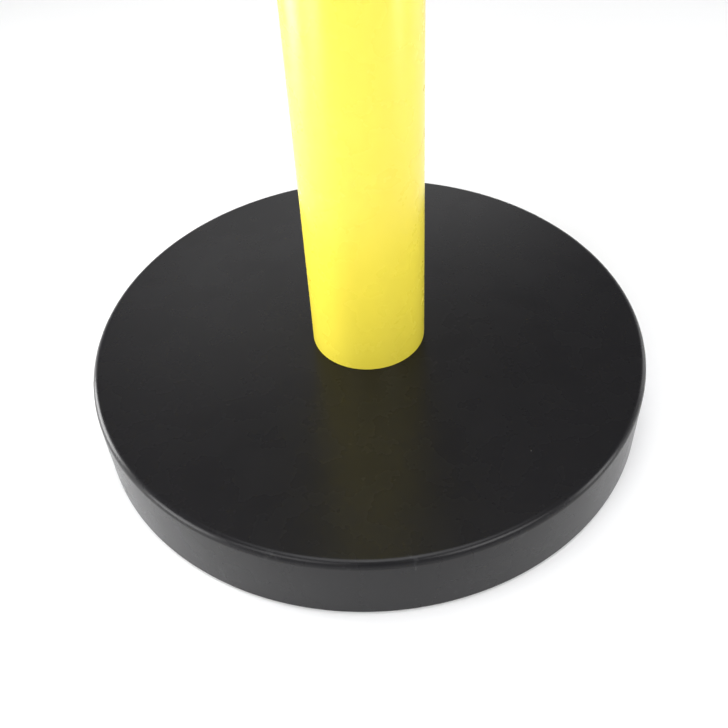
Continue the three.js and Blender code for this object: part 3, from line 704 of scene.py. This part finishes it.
def cap_outline():
    """The casing's circle, notched over the three receivers."""
    half_width, back = SLOT["half_width"], SLOT["back"]
    mouth = math.sqrt(CASING_R**2 - half_width**2)
    half_angle = math.degrees(math.asin(half_width / CASING_R))
    notch = [(mouth, -half_width, 1.2), (back, -half_width, 1.0)]
    notch += [(x, -y, r) for x, y, r in reversed(notch)]
    step, spare = 1.5, 3.2  # degrees; the spare ones leave room for the notches' rounded mouths
    corners = []
    stops = [(angle - half_angle, angle + half_angle) for angle in RECEIVERS]
    starts = [stops[-1][1] - 360] + [stop[1] for stop in stops[:-1]]
    for start, (end, _), angle in zip(starts, stops, RECEIVERS):
        steps = round((end - start) / step)
        corners += [(*p, 0) for p in arc(0, 0, CASING_R, start + spare, end - spare, steps)]
        turn = Matrix.Rotation(math.radians(angle), 2)
        corners += [(*(turn @ Vector((x, y))), r) for x, y, r in notch]
    return fillet(corners)


def cap():
    """Lid of the head: the shaft's boss, the plug's seat and four countersinks."""
    low, high = CASING_TOP + 0.1, HEAD_HEIGHT
    below = 70  # a height below the whole cap, where cuts through it start
    disc = prism(cap_outline(), low, high, 0.25, 0.9, 5)
    boss = lathe([(0, 74.5), (6.6, 74.5), (7, 74.9), (7, low + 1), (0, low + 1)], 64)
    shaft_hole = rod(SHAFT_HOLE_R, below, 82, 48)
    seat = [(0, 80.5), (9.3, 80.5), (9.3, high - 0.4), (9.7, high), (9.7, CLEAR), (0, CLEAR)]
    sink = [(0, below), (2, below), (2, high - 2), (3.8, high - 0.2), (4.0, high), (4.0, CLEAR), (0, CLEAR)]
    at_screw = placed(lathe(sink, 48), Matrix.Translation((SCREW_R, 0, 0)))
    sinks = [spun(at_screw, angle) for angle in LOBES]
    shape = cut(join(disc, boss), shaft_hole, lathe(seat, 96), *sinks)
    piece("cap", lifted(shape, HEAD_Z), "abs_black", "post", "top_cap", 30)


def plug():
    """Domed plug in the middle of the cap, with a coin slot."""
    low, high, radius = 80.7, HEAD_HEIGHT, 8.9
    dome = [(0, low), (radius, low)]
    dome += [(radius * math.cos(t), high - 1 + math.sin(t)) for t in np.linspace(0, 1.45, 12)]
    dome.append((0, high))
    coin_slot = prism(rounded(-5.5, 5.5, -0.7, 0.7, 0.6), high - 1.2, CLEAR)
    piece("plug", lifted(cut(lathe(dome, 96), coin_slot), HEAD_Z), "abs_black", "post", "centre_plug", 30)


def cross_screw(name, head, shank_r, length, matrix, body, replaced):
    """A cross-recess screw standing on its tip; its head is an outline from the edge to the crown."""
    top = max(z for _, z in head)
    bottom = top - length
    under = head[0][1]
    rows = [(0, bottom), (shank_r * 0.5, bottom), (shank_r, bottom + 1)]
    rows += thread(shank_r, 0.9, bottom + 1, under - 0.8)[1:-1]
    rows += [(shank_r, under - 0.3), (shank_r, under)] + head + [(0, top)]
    size = max(r for r, _ in head)
    arm, width = size * 0.52, size * 0.12
    recess = [
        prism(rounded(-a, a, -b, b, 0.08, 2), top - 1.1, top + 1) for a, b in ((arm, width), (width, arm))
    ]
    shape = placed(cut(lathe(rows, 48), *recess), matrix)
    piece(name, shape, "zinc_steel", body, replaced, 28)


def pan_head(radius, low, height):
    """Outline of a pan head from its underside to its crown."""
    turns = np.linspace(0, QUARTER, 7)
    crown = [(0.62 + 0.38 * math.cos(t), 0.45 + 0.55 * math.sin(t)) for t in turns]
    outline = [(radius - 0.15, low), (radius, low + 0.15)]
    return outline + [(radius * across, low + height * up) for across, up in crown]


def screws():
    """The cap's countersunk screws, the head's three pan heads and the clip's two."""
    top = HEAD_HEIGHT - 0.3
    countersunk = [(1.3, top - 2.2), (3.3, top - 0.2), (3.4, top - 0.1), (3.3, top)]
    for i, angle in enumerate(LOBES, 1):
        stand = about_z(angle) @ Matrix.Translation((SCREW_R, 0, HEAD_Z))
        cross_screw(f"lid_screw_{i}", countersunk, 1.3, 19.5, stand, "post", f"cap_screw_{i}")
    head = pan_head(3.9, TUBE_R + 0.2, 2.2)
    for i, angle in enumerate(HEAD_SCREWS, 1):
        stand = about_z(angle) @ Matrix.Translation((0, 0, HEAD_Z + HEAD_SCREW_Z)) @ SIDEWAYS
        cross_screw(f"collar_screw_{i}", head, 2, 8.2, stand, "post", f"head_screw_{i}")
    for place in ("upper", "lower"):
        low, high = box_mm(f"clip_screw_{place}")
        y, z = (low.y + high.y) / 2, (low.z + high.z) / 2
        stand = Matrix.Translation((0, y, z)) @ about_z(180) @ SIDEWAYS
        head, length = pan_head(2.9, -(low.x + 1.9), 1.9), high.x - low.x
        cross_screw(f"case_screw_{place}", head, 1.4, length, stand, "belt_clip", f"clip_screw_{place}")


def clip_case():
    """Front half of the clip: grooved sides, the pin's room, the lock's way out, and the T-rail."""
    across = Matrix(((0, 0, 1, 0), (1, 0, 0, 0), (0, 1, 0, 0), (0, 0, 0, 1)))  # (y, z) raised along x
    belt_low, belt_high = TAIL_LOW.z - HEAD_Z, TAIL_HIGH.z - HEAD_Z
    joint, face, half_width, low, high = 36.8, 46, 13, 8.6, 76.4
    rail_low, rail_high, lock_z = 14.4, 68, 72.3
    behind = 30  # a distance short of the joint, where the rooms that open backwards start
    screw_y, low_screw_z = 6.8, 13.6
    grooves, groove_back, groove_front = np.arange(24, 62, 4.5), 38.6, 44.2
    outside, reach = half_width + 1, 1.7  # the grooves are cut from outside the flank

    def slab(half, bottom, top, corner, back, front, back_edge, front_edge):
        outline = rounded(-half, half, bottom, top, corner)
        return placed(prism(outline, back, front, back_edge, front_edge), across)

    body = slab(half_width, low, high, 3, joint, face, 0.25, 1.3)
    neck = slab(5.8, rail_low, rail_high, 0.5, face - 2, 53, 0, 0)
    blade = slab(10.2, rail_low, rail_high, 0.9, 51.8, 56, 0.3, 0.7)
    rooms = [
        block(behind, 43.4, -3.6, 3.6, belt_low - 1.6, belt_high + 1.6),
        block(behind, 44, -3.9, 3.9, lock_z - 2.7, lock_z + 2.7),
        block(behind, 44, -2.5, 2.5, lock_z, CLEAR),
        block(40, 50, -2.9, 2.9, lock_z - 2.1, lock_z + 2.1),
    ]
    for y, z in ((screw_y, lock_z), (-screw_y, low_screw_z)):
        rooms.append(placed(rod(1.8, behind, 43.5), Matrix.Translation((0, y, z)) @ SIDEWAYS))
    for side in (-1, 1):
        inwards = Matrix(((1, 0, 0, 0), (0, 0, -side, side * outside), (0, 1, 0, 0), (0, 0, 0, 1)))
        for z in grooves:
            groove = rounded(groove_back, groove_front, z - 1, z + 1, 0.8)
            rooms.append(placed(prism(groove, 0, reach), inwards))
    shape = cut(join(body, neck, blade), *rooms)
    piece("clip_case", lifted(shape, HEAD_Z), "abs_black", "belt_clip", "clip_front", 30)


# ---- belt ----

BELT_THICK = 0.5
BELT_EDGES = (TAIL_LOW.z, TAIL_HIGH.z)


def belt_wound():
    """The belt's wound part, as one spiral of webbing on the drum."""
    low, high = box_mm("belt_coil")
    drum_r, inset_by, pitch, thickness, steps_per_turn = 8.3, 0.27, 0.5, 0.44, 64
    outer, inner = high.x - inset_by, drum_r + inset_by
    turns = (outer - inner) / pitch
    steps = round(turns * steps_per_turn)
    outer_end = math.radians(45.6)  # the angle at which the webbing leaves the coil
    line = []
    for i in range(steps + 1):
        wound = turns * i / steps
        radius, angle = outer - pitch * wound, outer_end + TURN * wound
        line.append((radius * math.cos(angle), radius * math.sin(angle)))
    obj = piece("belt_wound", strip(line, thickness, low.z, high.z), "belt_web", "spool", "belt_coil")


def belt_free():
    """The belt's free end: off the coil, through the exit, round the clip's pin and back along itself."""
    exit_x, pin_x, layer = 28.5, 40.4, 0.32
    coil_r = box_mm("belt_coil")[1].x + 0.3 + BELT_THICK / 2
    angle = math.acos(coil_r / exit_x)
    leave = (coil_r * math.cos(angle), coil_r * math.sin(angle))
    along = Vector((exit_x, 0)) - Vector(leave)
    approach = [tuple(Vector(leave) + along * t) for t in np.linspace(0, 0.86, 8)]
    bend = [tuple(p) for p in quadratic(approach[-1], (exit_x, 0.05), (exit_x + 1.8, layer), 8)][1:]
    run = [(x, layer) for x in np.linspace(exit_x + 2.0, 34.4, 40)]
    loop_r = 2.15
    lead_in = [(35.2, layer), (36.4, 0.6), (37.6, 1.3), (38.8, 1.85)]
    loop = arc(pin_x, 0, loop_r, 120, -120, 16)
    lead_out = [(38.8, -1.72), (37.6, -1.05), (36.6, -0.5), (35.8, -layer), (35.2, -layer)]
    line = approach + bend + run + lead_in + loop + lead_out
    obj = piece("belt_free", strip(line, BELT_THICK, *BELT_EDGES), "belt_web", None, "belt_tail")
    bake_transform(obj)


def quadratic(a, b, c, steps):
    """Points on the curve from a to c that b pulls towards itself."""
    a, b, c = Vector(a), Vector(b), Vector(c)
    for i in range(steps + 1):
        t = i / steps
        yield a * (1 - t) ** 2 + b * 2 * t * (1 - t) + c * t**2


# ---- CAD nodes that stay ----


def node_group(name, build):
    group = bpy.data.node_groups.new(name, "GeometryNodeTree")
    group.interface.new_socket("Geometry", in_out="INPUT", socket_type="NodeSocketGeometry")
    group.interface.new_socket("Geometry", in_out="OUTPUT", socket_type="NodeSocketGeometry")
    start, end = group.nodes.new("NodeGroupInput"), group.nodes.new("NodeGroupOutput")
    group.links.new(build(group, start.outputs[0]), end.inputs[0])
    return group


def smooth_by_angle(group, geometry):
    smooth = group.nodes.new("GeometryNodeSetShadeSmooth")
    group.links.new(geometry, smooth.inputs["Geometry"])
    angle = group.nodes.new("GeometryNodeInputMeshEdgeAngle")
    steep = group.nodes.new("FunctionNodeCompare")
    steep.operation = "GREATER_THAN"
    steep.inputs[1].default_value = math.radians(SHARP_ANGLE)
    group.links.new(angle.outputs["Unsigned Angle"], steep.inputs[0])
    sharp = group.nodes.new("GeometryNodeSetShadeSmooth")
    sharp.domain = "EDGE"
    sharp.inputs["Shade Smooth"].default_value = False
    group.links.new(smooth.outputs[0], sharp.inputs["Geometry"])
    group.links.new(steep.outputs[0], sharp.inputs["Selection"])
    return sharp.outputs[0]


SMOOTHING = node_group("smooth_by_angle", smooth_by_angle)

# node: width of its broken edges, in millimetres
KEPT_NODES = {
    "bolt_sleeve": 0.1,
    "clamp_washer": 0.3,
    "spring_washer": 0.2,
    "foot_plate": 0.4,
    "spool_shaft": 0.12,
    "shaft_screw": 0.15,
    "lower_washer": 0.1,
    "upper_washer": 0.1,
    "shaft_clip": 0.08,
    "brake_ring": 0.2,
    "spring_case": 0.2,
    "belt_spool": 0.2,
    "upper_flange": 0.15,
    "brake_pin_a": 0.15,
    "brake_pin_b": 0.15,
    "brake_shoe_a": 0.3,
    "brake_shoe_b": 0.3,
    "brake_pad_a": 0.2,
    "brake_pad_b": 0.2,
    "clip_pin": 0.15,
    "clip_back": 0.4,
    "lock_bolt": 0.25,
}


def finish_kept_nodes():
    slots = {s["node"]: s["material_slot"] for s in frame["record"]["subparts"]}
    for name, edge in KEPT_NODES.items():
        node = frame["nodes"][name]
        node.data.materials.clear()
        node.data.materials.append(MATERIALS[slots[name]])
        weld = node.modifiers.new("weld", "WELD")
        weld.merge_threshold = 0.002 * MM
        flat = node.modifiers.new("planes", "DECIMATE")
        flat.decimate_type = "DISSOLVE"
        flat.angle_limit = math.radians(0.5)
        bevel = node.modifiers.new("edges", "BEVEL")
        bevel.width = edge * MM
        bevel.segments = 3
        bevel.limit_method = "ANGLE"
        bevel.angle_limit = math.radians(40)
        smoothing = node.modifiers.new("smoothing", "NODES")
        smoothing.node_group = SMOOTHING


def mainspring():
    """Power spring: a steel ribbon wound outwards from the shaft to the spring case."""
    low, high = box_mm("power_spring")
    shaft_r, inset_by, turns, ribbon, steps_per_turn = 3, 0.35, 7, 0.3, 40
    inner, outer = shaft_r + inset_by, high.x - inset_by
    line = []
    for wound in np.linspace(0, turns, turns * steps_per_turn + 1):
        radius, angle = inner + (outer - inner) * wound / turns, QUARTER + TURN * wound
        line.append((radius * math.cos(angle), radius * math.sin(angle)))
    piece("mainspring", strip(line, ribbon, low.z, high.z), "dark_steel", "spool", "power_spring")


def lock_coil():
    """The lock bolt's return spring, a helix of round wire."""
    low, high = box_mm("lock_spring")
    wire, radius, turns = 0.24, 1.5, 4.0
    start, end = low.x + wire, high.x - wire
    centre_z = (low.z + high.z) / 2
    around, steps = 10, 128
    verts, faces = [], []
    for i in range(steps + 1):
        t = i / steps
        angle = TURN * turns * t
        out = Vector((0, math.cos(angle), math.sin(angle)))
        centre = Vector((start + (end - start) * t, 0, centre_z)) + out * radius
        for k in range(around):
            a = TURN * k / around
            verts.append(tuple(centre + out * wire * math.cos(a) + Vector((wire * math.sin(a), 0, 0))))
    for i in range(steps):
        for k in range(around):
            j = (k + 1) % around
            a, b = i * around, (i + 1) * around
            faces.append((a + k, a + j, b + j, b + k))
    faces += [tuple(reversed(range(around))), tuple(range(steps * around, (steps + 1) * around))]
    obj = piece("lock_coil", (verts, faces), "zinc_steel", "belt_clip", "lock_spring", 60)
    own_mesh(obj)


# ---- camera, light and floor ----


def camera():
    """Standing in front of the foot and looking down at it."""
    yaw, pitch, roll = (math.radians(a) for a in (1.353, -43.708, -2.070))
    ahead = Vector((math.sin(yaw) * math.cos(pitch), math.cos(yaw) * math.cos(pitch), math.sin(pitch)))
    level = Vector((math.cos(yaw), -math.sin(yaw), 0))
    upright = level.cross(ahead)
    right = math.cos(roll) * level + math.sin(roll) * upright
    up = math.cos(roll) * upright - math.sin(roll) * level
    data = bpy.data.cameras.new("camera")
    data.lens = 45.27
    data.sensor_width = 36
    data.shift_x, data.shift_y = -0.029, -0.03
    data.clip_start = 0.01
    obj = bpy.data.objects.new("camera", data)
    turned = Matrix((right, up, -ahead)).transposed().to_4x4()
    obj.matrix_world = Matrix.Translation((0, -0.3828, 0.3982)) @ turned
    bpy.context.scene.collection.objects.link(obj)
    bpy.context.scene.camera = obj


def area_light(name, place, aim, width, height, power):
    data = bpy.data.lights.new(name, "AREA")
    data.shape = "RECTANGLE"
    data.size, data.size_y = width, height
    data.energy = power
    obj = bpy.data.objects.new(name, data)
    obj.location = place
    obj.rotation_euler = (Vector(aim) - Vector(place)).to_track_quat("-Z", "Y").to_euler()
    obj.visible_camera = False
    bpy.context.scene.collection.objects.link(obj)


def studio():
    scene = bpy.context.scene
    scene.view_settings.view_transform = "Standard"
    scene.view_settings.look = "None"
    world = bpy.data.worlds.new("studio")
    world.use_nodes = True
    tree = world.node_tree
    heading = tree.nodes.new("ShaderNodeTexCoord")
    split = tree.nodes.new("ShaderNodeSeparateXYZ")
    tree.links.new(heading.outputs["Generated"], split.inputs[0])
    total = tree.nodes.new("ShaderNodeMath")
    # by the sine of the height above the horizon: pale walls, dim upper walls, and a bright ceiling
    for i, fade in enumerate(((0.25, 0.5, 0.8, 0.17), (0.92, 0.97, 0.0, 4.3))):
        node = tree.nodes.new("ShaderNodeMapRange")
        tree.links.new(split.outputs["Z"], node.inputs["Value"])
        tree.links.new(node.outputs["Result"], total.inputs[i])
        for socket, value in zip(("From Min", "From Max", "To Min", "To Max"), fade):
            node.inputs[socket].default_value = value
    background = tree.nodes["Background"]
    background.inputs["Color"].default_value = rgb(0.98, 0.985, 1.0)
    tree.links.new(total.outputs[0], background.inputs["Strength"])
    scene.world = world
    aim = (0, 0, 0.14)
    # degrees round from the front, distance, height of the middle, width, height, power
    lights = {
        "left_strip": (-102, 0.58, 0.14, 0.24, 0.26, 2.8),
        "left_front_strip": (-62, 0.58, 0.14, 0.24, 0.26, 1.5),
        "right_strip": (72, 0.60, 0.14, 0.16, 0.26, 0.8),
        "right_back_strip": (112, 0.60, 0.14, 0.20, 0.26, 0.3),
        "front_left": (-35, 1.25, 1.10, 0.80, 0.60, 6),
        "front_right": (40, 1.25, 1.10, 0.80, 0.60, 9.5),
        "back_left": (-168, 1.53, 1.25, 0.90, 0.50, 1.3),
        "back": (-178, 1.90, 1.15, 1.20, 0.60, 1.5),
        "back_right": (172, 1.98, 1.00, 0.90, 0.50, 1.0),
    }
    for name, (azimuth, distance, height, width, tall, power) in lights.items():
        turn = math.radians(azimuth)
        place = (distance * math.sin(turn), -distance * math.cos(turn), height)
        area_light(name, place, aim, width, tall, power)
    side = 30
    corners = [(-side, -side, 0), (side, -side, 0), (side, side, 0), (-side, side, 0)]
    mesh = bpy.data.meshes.new("floor")
    mesh.from_pydata(corners, [], [(0, 1, 2, 3)])
    floor = bpy.data.objects.new("floor", mesh)
    f = Finish("floor", Roughness=0.9, Specular_IOR_Level=0.1)
    f.set("Base Color", f.mix(f.noise(300, 2), rgb(0.93, 0.93, 0.93), rgb(0.91, 0.91, 0.91)))
    mesh.materials.append(f.material)
    scene.collection.objects.link(floor)


camera()
cover()
tube()
floor_ring()
weight()
foot_fastening()
casing()
cap()
plug()
screws()
clip_case()
belt_wound()
belt_free()
lock_coil()
mainspring()
finish_kept_nodes()
studio()
